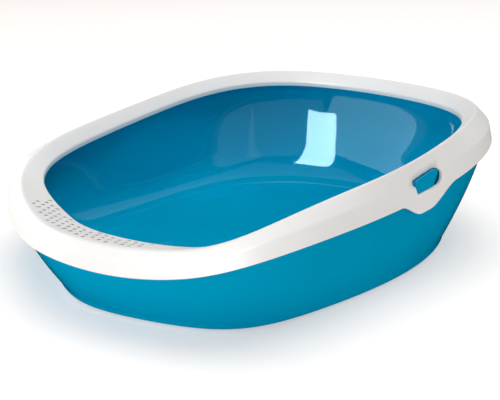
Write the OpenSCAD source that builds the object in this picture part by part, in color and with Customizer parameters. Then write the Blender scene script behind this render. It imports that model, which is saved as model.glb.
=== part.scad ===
// Open tray in two mouldings: a deep flared pan with a loose rim that clips over its edge.
// +X is across the tray, +Y runs from the low entry side to the high rear side, +Z is up.

/* [Overall] */
// Length over the skirt of the rim
tray_l = 519; // [480:1:560]
// Width over the skirt of the rim
tray_w = 396; // [370:1:420]
// Height of the rim at the entry
front_h = 78; // [72:1:86]
// Height of the rim at the rear
rear_h = 147; // [138:1:156]

/* [Rim] */
// Wall thickness of the rim
rim_wall = 2.4; // [2:0.1:2.6]
// Height of the outer band at the entry
band_front = 19; // [18:0.5:21]
// Height of the outer band along the sides and rear
band_side = 39; // [37:0.5:40]
// Width of the inner slope along the sides
slope_w = 15; // [13:0.5:17]
// Width of the perforated ledge at the entry
ledge_w = 32; // [28:1:34]
// Height of the turned-down inner lip
lip_drop = 5; // [4:0.5:6]

/* [Ledge holes] */
// Hole diameter
hole_d = 3.6; // [2.5:0.1:4]
// Distance between holes in a row
hole_pitch = 9.4; // [8:0.2:11]
// Distance between rows
row_pitch = 6.8; // [6:0.2:8]

/* [Pan] */
// Wall thickness of the pan
pan_wall = 2.6; // [2:0.1:3]
// Size of the base against its usual size
foot_share = 1; // [0.96:0.01:1.02]
// How full the wall is between base and rim, one is straight
wall_fullness = 1.35; // [1.1:0.05:1.5]

/* [Catch] */
// Depth of the catch face behind the outside of the rim
catch_recess = 0.9; // [0.6:0.1:1.2]
// Gap around the catch inside its window
catch_gap = 1; // [0.6:0.1:1.4]

/* [Hidden] */
white = [0.92, 0.91, 0.90];
blue = [0.02, 0.56, 0.76];
hole_sides = 24;

half_w = tray_w / 2;
half_l = tray_l / 2;

// control points of each half outline, rear middle to entry middle, at the nominal size
nominal = [397.6, 518.3];
centre_shift = 0.15;
crest_xy = [[0, 256], [146, 208], [191, 101], [196, -4], [183, -89], [173, -155], [143, -205],
            [57, -237], [0, -250]];
skirt_xy = [[0, 276], [159, 225], [206, 113], [193, 0], [198, -99], [197, -172], [150, -215],
            [75, -248], [0, -265]];
foot_xy = [[0, 231], [126, 183], [168, 90], [174, -3], [165, -81], [153, -141], [124, -181],
           [54, -214], [0, -230]];
// control heights of the crest and of the outer band, as shares of their rise
crest_share = [0.94, 1.01, 0.97, 0.70, 0.55, 0.39, 0.08, -0.03, 0.01];
band_share = [0.62, 0.45, 1.05, 1.18, 0.5, -0.1, -0.05, 0.05, 0];

// the inner lip: its fall below the crest, and the angles over which the slope widens to the ledge
lip_fall_side = 13.5;
lip_fall_front = 6;
fall_from = 103;
fall_run = 46;
ledge_from = 106;
ledge_run = 60;
crest_bend = 2;         // part of the slope's width taken by the bend at the crest
lip_thin = 0.8;         // thickness of the inner lip against the rim's wall

// the crease between the two facets of the outer band, at the entry and along the sides:
// share of the run from crest to skirt, and share of the fall
crease_run = [0.6, 0.85];
crease_fall = [0.4, 0.5];

base_z = 3;             // height of the foot ring
foot_ring = 4;          // the foot ring stands this far inside the base
ring_w = 3.2;           // width of the foot ring
base_edge = 0.6;        // rounding under the base outline
inner_extra = 1;        // the inner wall's base stands this much further in than the wall is thick
top_round = 0.7;        // rounding of the pan's hidden top edge
under_z = 2;            // the underside of the floor is raised this far
bowl_fillet = 46;       // the level floor ends this far inside the base
bend_from = 0.4;        // share of the height at which the inner wall starts to bend into the floor
belt_inset = rim_wall + 5.6;   // the pan's upper wall stands this far inside the skirt
belt_slack = 4.9;       // part of that which the hidden edge may use
hook_most = 25;         // highest the hidden edge stands above the skirt

// window and tab, seen from the side: y and z
tab_y = [-12, 20, 31, 71];
tab_drop = 14.5;
window = [[6, 108.5], [7.6, 102], [11, 94.9], [41.6, 98.1], [45.2, 101], [46.4, 106], [44.6, 111], [40, 114],
          [34, 114.6]];

// station angles from the rear, finer across both tabs
tab_from = 47.5;
tab_to = 75;
stations = concat(
    [for (a = [0:2.5:tab_from - 2.5]) a],
    [for (a = [tab_from:1.25:tab_to]) a],
    [for (a = [tab_to + 2.5:2.5:360 - tab_to - 2.5]) a],
    [for (a = [360 - tab_to:1.25:360 - tab_from]) a],
    [for (a = [360 - tab_from + 2.5:2.5:357.5]) a]);
count = len(stations);

function ease(u) = let(v = max(0, min(1, u))) v * v * (3 - 2 * v);
function mix(a, b, u) = a + (b - a) * u;

// smooth closed curve of a mirrored row of nine control values
function held(c, i) = let(k = (i + 32) % 16) k <= 8 ? c[k] : 16 - k == 0 ? c[0] :
    is_list(c[0]) ? [-c[16 - k][0], c[16 - k][1]] : c[16 - k];
function curve(c, a) =
    let(u = a / 22.5, i = floor(u), f = u - i)
    (held(c, i - 1) * pow(1 - f, 3) + held(c, i) * (3 * f * f * f - 6 * f * f + 4)
    + held(c, i + 1) * (-3 * f * f * f + 3 * f * f + 3 * f + 1) + held(c, i + 2) * f * f * f) / 6;
function sized(p) = [p[0] * tray_w / nominal[0], (p[1] + centre_shift) * tray_l / nominal[1]];

// plan point at a station angle, moved inward by d
function plan(c, a, d) =
    let(
        p = sized(curve(c, a)),
        t = sized(curve(c, a + 0.5)) - sized(curve(c, a - 0.5)),
        n = [t[1], -t[0]] / norm(t))
    p + d * n;

// heights
rise = rear_h - front_h;
function front_half(a) = a > 180 ? 360 - a : a;
function crest_z(a) = front_h + rise * curve(crest_share, a);
function band(a) = mix(band_front, band_side, curve(band_share, a));
function side_share(a) = max(0, min(1, curve(band_share, a)));
function skirt_z(a) = crest_z(a) - band(a);
function ledge_share(a) = ease((front_half(a) - ledge_from) / ledge_run);
function fall_share(a) = ease((front_half(a) - fall_from) / fall_run);
function lip_z(a) = crest_z(a) - mix(lip_fall_side, lip_fall_front, fall_share(a));
function lip_at(a, d = 0) = plan(crest_xy, a, mix(slope_w - crest_bend, ledge_w, ledge_share(a)) + d);

// the tab is a local drop of the skirt's lower edge
function tab(a) =
    let(y = plan(skirt_xy, a, 0)[1])
    tab_drop * ease((y - tab_y[0]) / (tab_y[1] - tab_y[0])) * ease((tab_y[3] - y) / (tab_y[3] - tab_y[2]));

function at(p, z) = [p[0], p[1], z];

// a closed tube of sections around the tray
module ring_of(sections) {
    m = len(sections[0]);
    polyhedron(
        points = [for (s = sections) for (p = s) p],
        faces = [for (i = [0:len(sections) - 1]) for (j = [0:m - 1])
            let(k = (i + 1) % len(sections), n = (j + 1) % m)
            [i * m + j, k * m + j, k * m + n, i * m + n]],
        convexity = 10);
}

// section of the rim, from the outer edge over the crest to the inner lip and back underneath
function crease_out(a) = mix(crease_run[0], crease_run[1], side_share(a));
function crease_down(a) = mix(crease_fall[0], crease_fall[1], side_share(a));
function rim_section(a) =
    let(
        zc = crest_z(a),
        zs = skirt_z(a),
        zl = lip_z(a),
        crease_z = zc - crease_down(a) * band(a),
        s = plan(skirt_xy, a, 0),
        c = plan(crest_xy, a, 0),
        l = lip_at(a),
        crease = mix(c, s, crease_out(a)),
        in = plan(skirt_xy, a, rim_wall) - s,
        under_l = lip_at(a, -rim_wall * lip_thin))
    [
        at(s, zs - tab(a)),
        at(mix(s, crease, 0.5), mix(zs, crease_z, 0.5)),
        at(crease, crease_z),
        at(mix(crease, c, 0.5), mix(crease_z, zc, 0.52)),
        at(mix(crease, c, 0.88), mix(crease_z, zc, 0.93)),
        at(c, zc),
        at(mix(c, l, 0.16), mix(zc, zl, 0.1)),
        at(mix(c, l, 0.55), mix(zc, zl, 0.5)),
        at(l, zl),
        at(l, zl - lip_drop),
        at(under_l, zl - lip_drop),
        at(under_l, zl - rim_wall),
        at(mix(c, under_l, 0.5), mix(zc, zl, 0.45) - rim_wall),
        at(c, zc - rim_wall * 1.3),
        at(crease + in, crease_z - 0.3 * rim_wall),
        at(mix(s, crease, 0.5) + in, mix(zs, crease_z, 0.5)),
        at(s + in, zs - tab(a))
    ];

module smaller_window(gap) {
    offset(delta = -gap) polygon(window);
}

// both windows are cut from inside the outer band outwards
window_from = 14;
window_run = 30;
module side_cuts() {
    rotate([90, 0, 90]) translate([0, 0, half_w - window_from]) linear_extrude(window_run) polygon(window);
}

// staggered straight rows of holes across the entry ledge
rows = 8;
holes_each_way = 9;
field_half = 82;
first_row_y = -half_l + 23;
edge_to_crest = 5;
edge_to_lip = 4.2;
bore = 36;
function to_crest(p) = min([for (a = [130:1.5:230]) norm(plan(crest_xy, a, 0) - p)]);
function to_lip(p) = min([for (a = [130:1.5:230]) norm(lip_at(a) - p)]);
module ledge_holes() {
    for (r = [0:rows - 1])
        for (i = [-holes_each_way:holes_each_way])
            let(
                p = [(i + (r % 2) / 2) * hole_pitch, first_row_y + r * row_pitch],
                a = 180 - atan2(p[0], -p[1]))
            if (abs(p[0]) < field_half && to_crest(p) > edge_to_crest && to_lip(p) > edge_to_lip
                && norm(p) < norm(plan(crest_xy, a, 0)))
                translate([p[0], p[1], crest_z(a) - bore / 2])
                    cylinder(d = hole_d, h = bore, $fn = hole_sides);
}

module rim() {
    color(white)
    difference() {
        ring_of([for (a = stations) rim_section(a)]);
        side_cuts();
        mirror([1, 0, 0]) side_cuts();
        ledge_holes();
    }
}

// wall of the pan: share of the way from base outline to belt outline at a share of the height
function flare(u) = 1 - pow(1 - u, wall_fullness);
levels = [0, 0.05, 0.12, 0.22, 0.35, 0.5, 0.66, 0.83, 1];
first_in = 5;           // the inner wall is level by level down to this one, then bends
// the hidden top edge rises above the skirt as far as the sloping band leaves room
function hook(a) =
    let(
        run = max(norm(plan(crest_xy, a, 0) - plan(skirt_xy, a, 0)), 1),
        low_run = run * (1 - crease_out(a)),
        low_rise = (1 - crease_down(a)) * band(a))
    min(hook_most, low_run > belt_slack ? low_rise * belt_slack / low_run
        : low_rise + (belt_slack - low_run) * (band(a) - low_rise) / (run - low_run));
function belt(a, d) = plan(skirt_xy, a, belt_inset + d);
foot_row = [for (p = foot_xy) p * foot_share];
function foot(a, d) = plan(foot_row, a, d);
function pan_out(a, u) = mix(foot(a, 0), belt(a, 0), flare(u));
function pan_in(a, u) = mix(foot(a, pan_wall + inner_extra), belt(a, pan_wall), flare(u));
function wall_z(a, u) = mix(base_z, skirt_z(a), u);

floor_z = under_z + pan_wall;

// the bend from the inner wall, running on along its own slope, into the level floor:
// its three control points, a point on it, and the point one wall thickness under that
function bend_row(a) =
    let(
        z = wall_z(a, bend_from),
        slope = wall_fullness * pow(1 - bend_from, wall_fullness - 1) / (skirt_z(a) - base_z),
        share = flare(bend_from) - slope * (z - floor_z))
    [at(pan_in(a, bend_from), z),
     at(mix(foot(a, pan_wall + inner_extra), belt(a, pan_wall), share), floor_z),
     at(foot(a, pan_wall + bowl_fillet), floor_z)];
function bend(a, t) =
    let(b = bend_row(a))
    (1 - t) * (1 - t) * b[0] + 2 * t * (1 - t) * b[1] + t * t * b[2];
function under_bend(a, t) =
    let(
        b = bend_row(a),
        d = (1 - t) * (b[1] - b[0]) + t * (b[2] - b[1]),
        run = norm([d[0], d[1]]))
    bend(a, t) + pan_wall / norm(d) * [d[0] * d[2] / run, d[1] * d[2] / run, -run];

function pan_section(a) =
    let(top = skirt_z(a) + hook(a))
    concat(
        [for (t = [1, 0.86, 0.72, 0.58, 0.46]) under_bend(a, t)],
        [at(foot(a, foot_ring + ring_w), 0), at(foot(a, foot_ring), 0),
         at(foot(a, foot_ring), base_z - base_edge)],
        [for (u = levels) at(pan_out(a, u), wall_z(a, u))],
        [at(belt(a, 0), top - top_round), at(belt(a, top_round), top),
         at(belt(a, pan_wall - top_round), top), at(belt(a, pan_wall), top - top_round)],
        [for (i = [len(levels) - 1:-1:first_in]) at(pan_in(a, levels[i]), wall_z(a, levels[i]))],
        [for (t = [0, 0.25, 0.5, 0.75, 1]) bend(a, t)]
    );

module pan_body() {
    sections = [for (a = stations) pan_section(a)];
    m = len(sections[0]);
    under = count * m;
    floor_mid = under + 1;
    polyhedron(
        points = concat([for (s = sections) for (p = s) p], [[0, 0, under_z], [0, 0, floor_z]]),
        faces = concat(
            [for (i = [0:count - 1]) for (j = [0:m - 2])
                let(k = (i + 1) % count)
                [i * m + j, k * m + j, k * m + j + 1, i * m + j + 1]],
            [for (i = [0:count - 1]) [i * m, under, ((i + 1) % count) * m]],
            [for (i = [0:count - 1]) [i * m + m - 1, ((i + 1) % count) * m + m - 1, floor_mid]]),
        convexity = 10);
}

module pan() {
    color(blue) pan_body();
}

// the catch: a springy tongue rooted low on the wall, with a block that stands in the window
skirt_x = plan(skirt_xy, 62, 0)[0];
wall_x = skirt_x - belt_inset;
tongue_t = 1.8;
tongue_out = 0.6;       // the tongue's middle stands this far outside the root
bead_r = 1.5;
root_gap = 1.1;         // gap between the pan's wall and the root
root_z = 92;
root_x = wall_x + bead_r + root_gap;
tongue_y = [9, 43];
tongue_top = 109;
block_x = root_x + tongue_out;
face_x = skirt_x - catch_recess;
bevel_z = 112;          // the face leans back above this height
bevel = 24;
bevel_cut = [20, 200, 20];
bevel_corner = [0, -60, -6];
module catch_body() {
    rotate([-90, 0, 0]) translate([root_x, -root_z, tongue_y[0]])
        cylinder(r = bead_r, h = tongue_y[1] - tongue_y[0], $fn = 48);
    difference() {
        union() {
            translate([root_x - tongue_t / 2 + tongue_out, tongue_y[0], root_z])
                cube([tongue_t, tongue_y[1] - tongue_y[0], tongue_top - root_z]);
            rotate([90, 0, 90]) translate([0, 0, block_x])
                linear_extrude(face_x - block_x) smaller_window(catch_gap);
        }
        translate([face_x, 0, bevel_z]) rotate([0, bevel, 0]) translate(bevel_corner) cube(bevel_cut);
    }
}

module right_catch() {
    color(blue) catch_body();
}

module left_catch() {
    color(blue) mirror([1, 0, 0]) catch_body();
}

pan();
rim();
right_catch();
left_catch();
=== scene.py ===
import math
import bpy
import numpy as np
from mathutils import Matrix, Vector, Quaternion


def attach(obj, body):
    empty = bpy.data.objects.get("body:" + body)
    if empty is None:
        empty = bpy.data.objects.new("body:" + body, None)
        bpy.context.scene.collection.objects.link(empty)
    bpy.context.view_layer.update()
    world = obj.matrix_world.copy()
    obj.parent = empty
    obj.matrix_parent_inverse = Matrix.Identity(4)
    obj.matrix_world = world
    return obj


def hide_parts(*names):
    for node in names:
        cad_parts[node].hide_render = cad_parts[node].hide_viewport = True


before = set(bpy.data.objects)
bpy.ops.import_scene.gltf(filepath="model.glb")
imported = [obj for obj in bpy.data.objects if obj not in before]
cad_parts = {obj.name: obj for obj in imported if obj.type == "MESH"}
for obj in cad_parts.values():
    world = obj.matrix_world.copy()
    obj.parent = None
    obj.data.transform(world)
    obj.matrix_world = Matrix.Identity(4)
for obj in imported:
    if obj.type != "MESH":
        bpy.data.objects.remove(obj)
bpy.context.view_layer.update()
scene = bpy.context.scene

# ---------------------------------------------------------------- camera
FRAME_PX, SENSOR = 500.0, 36.0
TURN, RISE, DIST = 45.262, 16.726, 0.86755
AIM = Vector((0.0, -0.0035, 0.080))
FOCAL_PX, SIDE_PX, LIFT_PX = 817.0, 4.78, -30.24
th, el = math.radians(TURN), math.radians(RISE)
back = Vector((math.sin(th) * math.cos(el), -math.cos(th) * math.cos(el), math.sin(el)))
right = Vector((math.cos(th), math.sin(th), 0.0))
up = back.cross(right)
cam_data = bpy.data.cameras.new("camera")
cam = bpy.data.objects.new("camera", cam_data)
scene.collection.objects.link(cam)
pose = Matrix((right, up, back)).transposed().to_4x4()
pose.translation = AIM + back * DIST
cam.matrix_world = pose
cam_data.sensor_width = SENSOR
cam_data.lens = FOCAL_PX * SENSOR / FRAME_PX
cam_data.shift_x = -SIDE_PX / FRAME_PX
cam_data.shift_y = LIFT_PX / FRAME_PX
cam_data.clip_start, cam_data.clip_end = 0.01, 50.0
scene.camera = cam

# ---------------------------------------------------------------- outlines, in millimetres
TRAY_W, TRAY_L = 396.0, 519.0
NOMINAL, CENTRE_SHIFT = np.array([397.6, 518.3]), np.array([0, 0.15])
FRONT_H, REAR_H = 78.0, 147.0
RIM_WALL, BAND_FRONT, BAND_SIDE = 2.4, 19.0, 39.0
SLOPE_W, LEDGE_W, LIP_DROP, CREST_BEND, LIP_THIN = 15.0, 32.0, 5.0, 2, 0.8
LIP_FALL_SIDE, LIP_FALL_FRONT, FALL_FROM, FALL_RUN = 13.5, 6.0, 103, 46
LEDGE_FROM, LEDGE_RUN = 106, 60
CREASE_RUN, CREASE_FALL = (0.6, 0.85), (0.4, 0.5)
HOLE_D, HOLE_PITCH, ROW_PITCH, ROWS, HOLES_EACH_WAY = 3.6, 9.4, 6.8, 8, 9
FIRST_ROW_IN, FIELD_HALF, EDGE_TO_CREST, EDGE_TO_LIP, HALF_BORE = 23, 82, 5, 4.2, 18
PAN_WALL, FULLNESS, INNER_EXTRA = 2.6, 1.35, 1.0
BELT_INSET, SLACK, HOOK_MOST = RIM_WALL + 5.6, 4.9, 25.0
BASE_Z, FOOT_RING, RING_W, UNDER_Z, FILLET, BEND_FROM = 3.0, 4.0, 3.2, 2.0, 46.0, 0.4
TAB_Y, TAB_DROP = (-12.0, 20.0, 31.0, 71.0), 14.5
# control points of each half outline, rear middle to entry middle
CREST = [[0, 256], [146, 208], [191, 101], [196, -4], [183, -89], [173, -155], [143, -205],
         [57, -237], [0, -250]]
SKIRT = [[0, 276], [159, 225], [206, 113], [193, 0], [198, -99], [197, -172], [150, -215],
         [75, -248], [0, -265]]
FOOT = [[0, 231], [126, 183], [168, 90], [174, -3], [165, -81], [153, -141], [124, -181],
        [54, -214], [0, -230]]
# control heights of the crest and of the outer band, as shares of their rise
CREST_SHARE = [0.94, 1.01, 0.97, 0.70, 0.55, 0.39, 0.08, -0.03, 0.01]
BAND_SHARE = [0.62, 0.45, 1.05, 1.18, 0.5, -0.1, -0.05, 0.05, 0]
# the window seen from the side, y and z
WINDOW = [[6, 108.5], [7.6, 102], [11, 94.9], [41.6, 98.1], [45.2, 101], [46.4, 106], [44.6, 111], [40, 114],
          [34, 114.6]]


def ease(u):
    v = np.clip(u, 0.0, 1.0)
    return v * v * (3 - 2 * v)


def mix(a, b, u):
    return a + (b - a) * u


def col(u):
    return np.asarray(u)[..., None]


def curve(row, a):
    """Smooth closed curve of a mirrored row of nine control values, at angles a in degrees."""
    c = np.asarray(row, float)
    if c.ndim == 1:
        c = c[:, None]
        flip = np.array([1.0])
    else:
        flip = np.array([-1.0, 1.0])
    full = np.concatenate([c, c[7:0:-1] * flip])
    u = np.asarray(a, float) / 22.5
    i = np.floor(u).astype(int)
    f = col(u - i)
    return (full[(i - 1) % 16] * (1 - f) ** 3 + full[i % 16] * (3 * f**3 - 6 * f**2 + 4)
            + full[(i + 1) % 16] * (-3 * f**3 + 3 * f**2 + 3 * f + 1) + full[(i + 2) % 16] * f**3) / 6


def sized(p):
    return (p + CENTRE_SHIFT) * (np.array([TRAY_W, TRAY_L]) / NOMINAL)


def plan(row, a, d):
    p = sized(curve(row, a))
    t = sized(curve(row, np.asarray(a) + 0.5)) - sized(curve(row, np.asarray(a) - 0.5))
    n = np.stack([t[..., 1], -t[..., 0]], -1) / np.linalg.norm(t, axis=-1, keepdims=True)
    return p + col(d) * n


def half_turn(a):
    a = np.asarray(a) % 360.0
    return np.where(a > 180, 360 - a, a)


def crest_z(a):
    return FRONT_H + (REAR_H - FRONT_H) * curve(CREST_SHARE, a)[..., 0]


def band(a):
    return mix(BAND_FRONT, BAND_SIDE, curve(BAND_SHARE, a)[..., 0])


def side_share(a):
    return np.clip(curve(BAND_SHARE, a)[..., 0], 0, 1)


def skirt_z(a):
    return crest_z(a) - band(a)


def lip_z(a):
    return crest_z(a) - mix(LIP_FALL_SIDE, LIP_FALL_FRONT, ease((half_turn(a) - FALL_FROM) / FALL_RUN))


def lip_at(a, d=0.0):
    width = mix(SLOPE_W - CREST_BEND, LEDGE_W, ease((half_turn(a) - LEDGE_FROM) / LEDGE_RUN))
    return plan(CREST, a, width + d)


def tab(a):
    y = plan(SKIRT, a, 0.0)[..., 1]
    rise = ease((y - TAB_Y[0]) / (TAB_Y[1] - TAB_Y[0]))
    return TAB_DROP * rise * ease((TAB_Y[3] - y) / (TAB_Y[3] - TAB_Y[2]))


def crease_out(a):
    return mix(*CREASE_RUN, side_share(a))


def crease_down(a):
    return mix(*CREASE_FALL, side_share(a))


def at(p, z):
    return np.concatenate([p, col(z)], -1)


def rounded(keys, radii, steps):
    """Sections through key points, each corner replaced by a smooth bend. keys: (corners, stations, 3)."""
    m = len(keys)
    out = []
    for j in range(m):
        p, before, after = keys[j], keys[j - 1], keys[(j + 1) % m]
        if steps[j] < 2:
            out.append(p)
            continue
        to_b, to_a = before - p, after - p
        lb = np.linalg.norm(to_b, axis=-1, keepdims=True)
        la = np.linalg.norm(to_a, axis=-1, keepdims=True)
        r = radii[j]
        s = p + to_b / lb * np.minimum(r, lb * 0.48)
        e = p + to_a / la * np.minimum(r, la * 0.48)
        for k in np.linspace(0, 1, steps[j]):
            out.append((1 - k) ** 2 * s + 2 * k * (1 - k) * p + k * k * e)
    return np.stack(out, 1)


def denser(sections, most):
    """The sections with extra points along every side longer than the given length."""
    m = sections.shape[1]
    out = []
    for j in range(m):
        p, q = sections[:, j], sections[:, (j + 1) % m]
        parts = max(1, math.ceil(np.median(np.linalg.norm(q - p, axis=-1)) / most))
        out += [mix(p, q, k / parts) for k in range(parts)]
    return np.stack(out, 1)


def mesh_from(name, verts, faces):
    me = bpy.data.meshes.new(name)
    me.from_pydata((np.asarray(verts) / 1000.0).tolist(), [], faces)
    me.validate()
    me.update()
    ob = bpy.data.objects.new(name, me)
    scene.collection.objects.link(ob)
    for p in me.polygons:
        p.use_smooth = True
    return ob


def closed_ring(name, sections):
    n, m, _ = sections.shape
    faces = []
    for i in range(n):
        k = (i + 1) % n
        for j in range(m):
            q = (j + 1) % m
            faces.append((i * m + j, i * m + q, k * m + q, k * m + j))
    return mesh_from(name, sections.reshape(-1, 3), faces)


def fine_stations(step, fine, lo=44.0, hi=78.0):
    parts = [np.arange(0, lo, step), np.arange(lo, hi, fine), np.arange(hi, 360 - hi, step),
             np.arange(360 - hi, 360 - lo, fine), np.arange(360 - lo, 360, step)]
    return np.concatenate(parts)


def apply_modifiers(ob):
    dg = bpy.context.evaluated_depsgraph_get()
    me = bpy.data.meshes.new_from_object(ob.evaluated_get(dg))
    old = ob.data
    ob.modifiers.clear()
    ob.data = me
    bpy.data.meshes.remove(old)


def cutter(name, verts, faces):
    ob = mesh_from(name, verts, faces)
    for p in ob.data.polygons:
        p.use_smooth = False
    return ob


def cut(ob, tools, how="DIFFERENCE"):
    """Boolean with one joined tool object."""
    verts, faces = [], []
    for v, f in tools:
        base = len(verts)
        verts += list(v)
        faces += [tuple(base + i for i in q) for q in f]
    tool = cutter("cutting", verts, faces)
    mod = ob.modifiers.new("cut", "BOOLEAN")
    mod.operation = how
    mod.solver = "EXACT"
    mod.object = tool
    apply_modifiers(ob)
    bpy.data.objects.remove(tool, do_unlink=True)


def prism(loop, lo, hi, axis):
    """A closed prism of a 2-D loop between two planes: axis 0 runs along X from y and z, axis 2 along Z."""
    loop = np.asarray(loop, float)
    n = len(loop)
    if axis == 0:
        a = np.column_stack([np.full(n, lo), loop])
        b = np.column_stack([np.full(n, hi), loop])
    else:
        a = np.column_stack([loop, np.full(n, lo)])
        b = np.column_stack([loop, np.full(n, hi)])
    faces = [tuple(range(n - 1, -1, -1)), tuple(range(n, 2 * n))]
    faces += [(i, (i + 1) % n, n + (i + 1) % n, n + i) for i in range(n)]
    return np.concatenate([a, b]), faces


def soft_loop(loop, radius, steps=7):
    """A closed 2-D loop with its corners rounded."""
    loop = np.asarray(loop, float)
    n = len(loop)
    out = []
    for i in range(n):
        p, b, a = loop[i], loop[i - 1], loop[(i + 1) % n]
        lb, la = np.linalg.norm(b - p), np.linalg.norm(a - p)
        s = p + (b - p) / lb * min(radius, lb * 0.48)
        e = p + (a - p) / la * min(radius, la * 0.48)
        for k in np.linspace(0, 1, steps):
            out.append((1 - k) ** 2 * s + 2 * k * (1 - k) * p + k * k * e)
    return np.array(out)


# ---------------------------------------------------------------- rim
def rim_mesh():
    a = fine_stations(0.5, 0.2)
    zc, zs, zl = crest_z(a), skirt_z(a), lip_z(a)
    crease_z = zc - crease_down(a) * band(a)
    s, c, l = plan(SKIRT, a, 0.0), plan(CREST, a, 0.0), lip_at(a)
    crease = mix(c, s, col(crease_out(a)))
    inward = plan(SKIRT, a, RIM_WALL) - s
    under_l = lip_at(a, -RIM_WALL * LIP_THIN)
    keys = np.stack([
        at(s, zs - tab(a)),
        at(mix(s, crease, 0.5), mix(zs, crease_z, 0.5)),
        at(crease, crease_z),
        at(mix(crease, c, 0.5), mix(crease_z, zc, 0.515)),
        at(c, zc),
        at(mix(c, l, 0.5), mix(zc, zl, 0.47)),
        at(l, zl),
        at(l, zl - LIP_DROP),
        at(under_l, zl - LIP_DROP),
        at(under_l, zl - RIM_WALL),
        at(mix(c, under_l, 0.5), mix(zc, zl, 0.45) - RIM_WALL),
        at(c, zc - RIM_WALL * 1.3),
        at(crease + inward, crease_z - 0.3 * RIM_WALL),
        at(mix(s, crease, 0.5) + inward, mix(zs, crease_z, 0.5)),
        at(s + inward, zs - tab(a)),
    ])
    radii = [0.7, 4, 1.3, 6, 3.2, 8, 1.7, 0.8, 0.8, 1.2, 5, 2, 4, 4, 0.7]
    steps = [5, 3, 7, 3, 9, 3, 7, 4, 4, 3, 3, 4, 3, 3, 4]
    return closed_ring("rim_shell", denser(rounded(keys, radii, steps), 1.6))


SCOOP_DEPTH, SCOOP_UP, SCOOP_DOWN, SCOOP_FROM_X = 3.3, 7.5, 7, 0.186


def scoop(ob):
    """The hollow over each window, where the band dips in to the catch."""
    me = ob.data
    n = len(me.vertices)
    co = np.empty(n * 3)
    me.vertices.foreach_get("co", co)
    co = co.reshape(-1, 3)
    y, z, x = co[:, 1] * 1000, co[:, 2] * 1000, co[:, 0]
    (y0, z0), (y1, z1) = WINDOW[0], WINDOW[-1]       # ends of the window's upper edge
    above = z - z0 - (y - y0) * (z1 - z0) / (y1 - y0)
    depth = SCOOP_DEPTH * np.clip(1 - above / SCOOP_UP, 0, 1.05) ** 0.6 * (above > -SCOOP_DOWN)
    depth *= ease((y + 4) / 11.0) * (1 - ease((y - 38.5) / 2.5))
    depth *= ease((above + SCOOP_DOWN) / 2.5)
    co[:, 0] = x - np.sign(x) * depth / 1000 * (np.abs(x) > SCOOP_FROM_X)
    me.vertices.foreach_set("co", co.ravel())
    me.update()


def hole_centres():
    """Staggered straight rows across the ledge, each hole with the crest height beside it."""
    a = np.arange(130, 230, 0.5)
    crest, lip = plan(CREST, a, 0.0), lip_at(a)
    out = []
    for r in range(ROWS):
        for i in range(-HOLES_EACH_WAY, HOLES_EACH_WAY + 1):
            p = np.array([(i + (r % 2) / 2) * HOLE_PITCH, -TRAY_L / 2 + FIRST_ROW_IN + r * ROW_PITCH])
            turn = 180 - math.degrees(math.atan2(p[0], -p[1]))
            if abs(p[0]) >= FIELD_HALF or np.linalg.norm(crest - p, axis=1).min() <= EDGE_TO_CREST:
                continue
            if np.linalg.norm(lip - p, axis=1).min() <= EDGE_TO_LIP:
                continue
            if np.linalg.norm(p) >= np.linalg.norm(plan(CREST, np.array([turn]), 0.0)[0]):
                continue
            out.append((p, float(crest_z(np.array([turn]))[0])))
    return out


rim = rim_mesh()
scoop(rim)
ang = np.radians(np.arange(0, 360, 15))
tools = []
for p, z in hole_centres():
    loop = np.column_stack([p[0] + HOLE_D / 2 * np.cos(ang), p[1] + HOLE_D / 2 * np.sin(ang)])
    tools.append(prism(loop, z - HALF_BORE, z + HALF_BORE, 2))
pane = soft_loop(WINDOW, 2.2)
PANE_IN, PANE_OUT = 180, 212                         # between these distances from the middle
tools += [prism(pane, PANE_IN, PANE_OUT, 0), prism(pane, -PANE_OUT, -PANE_IN, 0)]
cut(rim, tools)


# ---------------------------------------------------------------- pan
def flare(u):
    return 1 - (1 - u) ** FULLNESS


def hook(a):
    run = np.maximum(np.linalg.norm(plan(CREST, a, 0.0) - plan(SKIRT, a, 0.0), axis=-1), 1)
    low_run = run * (1 - crease_out(a))
    low_rise = (1 - crease_down(a)) * band(a)
    near = low_rise * SLACK / np.maximum(low_run, 1e-6)
    far = low_rise + (SLACK - low_run) * (band(a) - low_rise) / (run - low_run)
    return np.minimum(HOOK_MOST, np.where(low_run > SLACK, near, far))


def level(p, z):
    return at(p, np.full(len(p), z))


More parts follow.
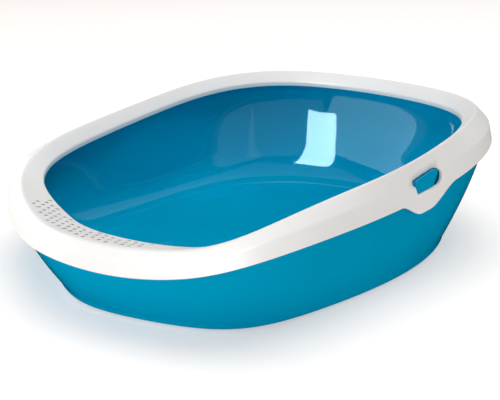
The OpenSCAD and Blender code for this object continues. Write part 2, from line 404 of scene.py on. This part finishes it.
def pan_mesh():
    """The pan as one row of points per level: underside, foot ring, outside, top edge, inside, floor."""
    a = fine_stations(0.6, 0.6)
    n = len(a)
    zs = skirt_z(a)
    top = zs + hook(a)
    floor_z = UNDER_Z + PAN_WALL

    def wall(u, d):
        inner = plan(FOOT, a, d + (INNER_EXTRA if d else 0.0))
        return at(mix(inner, plan(SKIRT, a, BELT_INSET + d), flare(u)), mix(BASE_Z, zs, u))

    start, low = wall(BEND_FROM, PAN_WALL), plan(FOOT, a, PAN_WALL + FILLET)
    slope = FULLNESS * (1 - BEND_FROM) ** (FULLNESS - 1) / (zs - BASE_Z)
    share = flare(BEND_FROM) - slope * (start[:, 2] - floor_z)
    inner_foot, inner_belt = plan(FOOT, a, PAN_WALL + INNER_EXTRA), plan(SKIRT, a, BELT_INSET + PAN_WALL)
    corner = level(mix(inner_foot, inner_belt, col(share)), floor_z)
    end = level(low, floor_z)

    def bend(t):
        return (1 - t) ** 2 * start + 2 * t * (1 - t) * corner + t * t * end

    def under(t):
        d = (1 - t) * (corner - start) + t * (end - corner)
        run = np.linalg.norm(d[:, :2], axis=1)
        step = np.stack([d[:, 0] * d[:, 2] / run, d[:, 1] * d[:, 2] / run, -run], 1)
        return bend(t) + PAN_WALL * step / np.linalg.norm(d, axis=1)[:, None]

    rows = [under(t) for t in np.linspace(1, 0.46, 14)]
    for inset, z in ((RING_W, 0.25), (RING_W - 0.6, 0.0), (0.8, 0.0), (0.2, 0.15), (-0.2, 0.6)):
        rows.append(level(plan(FOOT, a, FOOT_RING + inset), z))
    base_top = wall(0.06, 0.0)
    for g in np.radians(np.linspace(78, 6, 9)):
        out = mix(plan(FOOT, a, FOOT_RING), base_top[:, :2], math.cos(g))
        rows.append(at(out, mix(base_top[:, 2], 0.6, math.sin(g))))
    rows += [wall(u, 0.0) for u in np.linspace(0.065, 1, 38)]
    middle = mix(zs, top, 0.5)
    for inset, z in ((0, middle), (0, top - 0.9), (0.25, top - 0.25), (0.9, top), (PAN_WALL - 0.9, top),
                     (PAN_WALL - 0.25, top - 0.25), (PAN_WALL, top - 0.9), (PAN_WALL, middle)):
        rows.append(at(plan(SKIRT, a, BELT_INSET + inset), z))
    rows += [wall(u, PAN_WALL) for u in np.linspace(1, BEND_FROM + 0.02, 26)]
    rows += [bend(t) for t in np.linspace(0, 1, 26)]
    rows += [level(low * k, floor_z) for k in np.linspace(0.96, 0.1, 14)]
    sections = np.stack(rows, 1)
    m = sections.shape[1]
    verts = sections.reshape(-1, 3).tolist() + [[0, 0, UNDER_Z], [0, 0, floor_z]]
    faces = []
    for i in range(n):
        k = (i + 1) % n
        faces.append((i * m, k * m, n * m))
        faces.append((k * m + m - 1, i * m + m - 1, n * m + 1))
        for j in range(m - 1):
            faces.append((i * m + j, i * m + j + 1, k * m + j + 1, k * m + j))
    return mesh_from("pan_shell", verts, faces)


pan = pan_mesh()


# ---------------------------------------------------------------- catches
SKIRT_X = float(plan(SKIRT, np.array([62.0]), 0.0)[0, 0])
ROOT_X, ROOT_Z, BEAD_R = SKIRT_X - BELT_INSET + 2.6, 92.0, 1.5
FACE_X, GAP = SKIRT_X - 0.9, 0.6
TONGUE_Y, TONGUE_TOP, BEAD_SIDES = (9.0, 43.0), 109, 24


def shrunk(loop, gap):
    """The loop moved inward by the gap; it runs anticlockwise seen with y to the right and z up."""
    p = np.asarray(loop, float)
    out = []
    for i in range(len(p)):
        a, b, c = p[i - 1], p[i], p[(i + 1) % len(p)]
        u, v = (b - a) / np.linalg.norm(b - a), (c - b) / np.linalg.norm(c - b)
        n1, n2 = np.array([-u[1], u[0]]), np.array([-v[1], v[0]])
        out.append(b + gap * (n1 + n2) / (1 + n1 @ n2))
    return np.array(out)


def block(x0, x1, y0, y1, z0, z1):
    return prism([[y0, z0], [y1, z0], [y1, z1], [y0, z1]], x0, x1, 0)


def wedge(points):
    """A closed solid with eight corners in the order of a block's."""
    v, f = block(0, 1, 0, 1, 0, 1)
    return np.asarray(points, float), f


def catch_mesh(name, side):
    face = soft_loop(shrunk(WINDOW, GAP), 1.6)
    ob = cutter(name, *prism(face, ROOT_X + 0.6, FACE_X, 0))
    ring = np.radians(np.arange(0, 360, 360 / BEAD_SIDES))
    bead = np.column_stack([ROOT_X + BEAD_R * np.cos(ring), ROOT_Z + BEAD_R * np.sin(ring)])
    ends = [np.column_stack([bead[:, 0], np.full(BEAD_SIDES, y), bead[:, 1]]) for y in TONGUE_Y]
    bead_faces = prism(bead, 0, 1, 2)[1]
    tongue = block(ROOT_X - 0.3, ROOT_X + 1.5, *TONGUE_Y, ROOT_Z, TONGUE_TOP)
    for part in (tongue, (np.concatenate(ends), bead_faces)):
        cut(ob, [part], "UNION")
    # the face turns inward towards the rear end
    deep, proud, low, high, past = FACE_X - 3.4, FACE_X + 0.3, 85, 125, 60
    turn = wedge([[deep, 36, low], [deep, past, low], [deep, past, high], [deep, 55.9, high],
                  [proud, 27.6, low], [proud, past, low], [proud, past, high], [proud, 47.4, high]])
    cut(ob, [turn])
    if side < 0:
        ob.data.transform(Matrix.Scale(-1, 4, (1, 0, 0)))
        ob.data.flip_normals()
    bev = ob.modifiers.new("edge", "BEVEL")
    bev.width, bev.segments = 0.00045, 3
    bev.limit_method, bev.angle_limit = "ANGLE", math.radians(14)
    apply_modifiers(ob)
    for p in ob.data.polygons:
        p.use_smooth = True
    return ob


catches = [catch_mesh("right_catch_block", 1), catch_mesh("left_catch_block", -1)]


# ---------------------------------------------------------------- materials
def material(name):
    m = bpy.data.materials.new(name)
    m.use_nodes = True
    nt = m.node_tree
    bsdf = next(n for n in nt.nodes if n.type == "BSDF_PRINCIPLED")
    return m, nt, bsdf


def noise(nt, scale, detail, rough, coords):
    n = nt.nodes.new("ShaderNodeTexNoise")
    n.inputs["Scale"].default_value = scale
    n.inputs["Detail"].default_value = detail
    n.inputs["Roughness"].default_value = rough
    nt.links.new(coords, n.inputs["Vector"])
    return n.outputs["Fac"]


def ramp(nt, src, lo, hi):
    """Spreads the middle of a noise over the range from lo to hi."""
    r = nt.nodes.new("ShaderNodeMapRange")
    r.inputs["From Min"].default_value = 0.35
    r.inputs["From Max"].default_value = 0.65
    r.inputs["To Min"].default_value = lo
    r.inputs["To Max"].default_value = hi
    nt.links.new(src, r.inputs["Value"])
    return r.outputs["Result"]


def tinted(nt, src, c1, c2):
    m = nt.nodes.new("ShaderNodeMix")
    m.data_type = "RGBA"
    nt.links.new(src, m.inputs["Factor"])
    m.inputs["A"].default_value = (*c1, 1)
    m.inputs["B"].default_value = (*c2, 1)
    return m.outputs["Result"]


def bumpy(nt, bsdf, src, strength, dist):
    b = nt.nodes.new("ShaderNodeBump")
    b.inputs["Strength"].default_value = strength
    b.inputs["Distance"].default_value = dist
    nt.links.new(src, b.inputs["Height"])
    nt.links.new(b.outputs["Normal"], bsdf.inputs["Normal"])


def blue_plastic(name):
    m, nt, bsdf = material(name)
    tc = nt.nodes.new("ShaderNodeTexCoord").outputs["Object"]
    broad = noise(nt, 6.0, 2.0, 0.5, tc)
    shade = tinted(nt, ramp(nt, broad, 0, 1), (0.0, 0.28, 0.478), (0.0, 0.31, 0.518))
    nt.links.new(shade, bsdf.inputs["Base Color"])
    fine = noise(nt, 900.0, 2.0, 0.6, tc)
    nt.links.new(ramp(nt, fine, 0.03, 0.045), bsdf.inputs["Roughness"])
    bumpy(nt, bsdf, noise(nt, 26.0, 1.0, 0.4, tc), 0.06, 0.001)
    bsdf.inputs["IOR"].default_value = 1.5
    bsdf.inputs["Specular IOR Level"].default_value = 0.1
    bsdf.inputs["Specular Tint"].default_value = (0.5, 0.85, 1.0, 1)
    return m


def white_plastic(name):
    m, nt, bsdf = material(name)
    tc = nt.nodes.new("ShaderNodeTexCoord").outputs["Object"]
    broad = noise(nt, 9.0, 3.0, 0.5, tc)
    shade = tinted(nt, ramp(nt, broad, 0, 1), (0.775, 0.765, 0.75), (0.81, 0.80, 0.785))
    nt.links.new(shade, bsdf.inputs["Base Color"])
    fine = noise(nt, 1400.0, 2.0, 0.6, tc)
    nt.links.new(ramp(nt, fine, 0.34, 0.42), bsdf.inputs["Roughness"])
    bumpy(nt, bsdf, noise(nt, 1800.0, 2.0, 0.6, tc), 0.05, 0.0002)
    bsdf.inputs["IOR"].default_value = 1.46
    bsdf.inputs["Specular IOR Level"].default_value = 0.08
    return m


catch_blue = blue_plastic("catch_blue")
pan.data.materials.append(blue_plastic("pan_blue"))
pan.visible_glossy = False
rim.data.materials.append(white_plastic("rim_white"))
for ob, node in zip(catches, ("right_catch", "left_catch")):
    ob.data.materials.append(catch_blue)
    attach(ob, node)
    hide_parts(node)

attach(pan, "pan")
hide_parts("pan")
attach(rim, "rim")
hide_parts("rim")

# ---------------------------------------------------------------- floor and light
REACH = 40000
floor = mesh_from("floor", [[-REACH, -REACH, 0], [REACH, -REACH, 0], [REACH, REACH, 0], [-REACH, REACH, 0]],
                  [(0, 1, 2, 3)])
fm, _, fb = material("floor_pale")
fb.inputs["Base Color"].default_value = (0.7, 0.69, 0.68, 1)
fb.inputs["Roughness"].default_value = 0.7
fb.inputs["Specular IOR Level"].default_value = 0.0
fb.inputs["Emission Color"].default_value = (1, 0.93, 0.89, 1)
fb.inputs["Emission Strength"].default_value = 0.42
floor.data.materials.append(fm)
floor.visible_glossy = False


DIFFUSE, GLOSSY = "diffuse", "glossy"


def softbox(name, aim, azimuth, height, dist, size, radiance, seen_by, roll=0):
    """A white rectangular light facing the aim point; azimuth runs from +Y towards +X, in degrees."""
    d = bpy.data.lights.new(name, "AREA")
    d.shape = "RECTANGLE"
    d.size, d.size_y = size
    d.energy = radiance * math.pi * size[0] * size[1]
    o = bpy.data.objects.new(name, d)
    scene.collection.objects.link(o)
    az, el = math.radians(azimuth), math.radians(height)
    way = Vector((math.sin(az) * math.cos(el), math.cos(az) * math.cos(el), math.sin(el)))
    o.location = Vector(aim) + way * dist
    facing = (-way).to_track_quat("-Z", "Y") @ Quaternion((0, 0, 1), math.radians(roll))
    o.rotation_euler = facing.to_euler()
    o.visible_diffuse = seen_by == DIFFUSE
    o.visible_glossy = seen_by == GLOSSY
    o.visible_camera = False


softbox("key", (0.0, 0.0, 0.05), 205, 8, 3.2, (2.8, 0.8), 4.8, DIFFUSE)
softbox("front", (0.0, 0.0, 0.05), 120, 20, 4.0, (3.0, 2.4), 1.1, DIFFUSE)
softbox("top", (0.0, 0.1, 0.0), 0, 88, 6.0, (6.5, 6.5), 2.45, DIFFUSE)
softbox("rear", (0.0, 0.0, 0.05), 28, 48, 6.6, (4.2, 3.6), 0.6, DIFFUSE)
softbox("key_box", (-0.09, 0.209, 0.05), 170, 42, 1.5, (0.52, 1.24), 105, GLOSSY, 5)
softbox("side_box", (-0.17, 0.1, 0.05), 84, 30, 1.6, (0.84, 1.1), 3.2, GLOSSY)
softbox("room_box", (-0.17, 0.1, 0.05), 132, 32, 1.7, (2.2, 1.1), 3.0, GLOSSY)
softbox("front_box", (0.0, 0.24, 0.08), 218, 20, 1.5, (2.6, 1.0), 11.0, GLOSSY)
softbox("top_box", (0.0, 0.1, 0.0), -30, 80, 2.2, (2.4, 2.4), 2.0, GLOSSY)

world = bpy.data.worlds.new("studio")
scene.world = world
world.use_nodes = True
bg = world.node_tree.nodes["Background"]
bg.inputs["Color"].default_value = (1, 1, 1, 1)
bg.inputs["Strength"].default_value = 0.2
world.cycles_visibility.glossy = False
scene.view_settings.view_transform = "Standard"
scene.view_settings.look = "None"
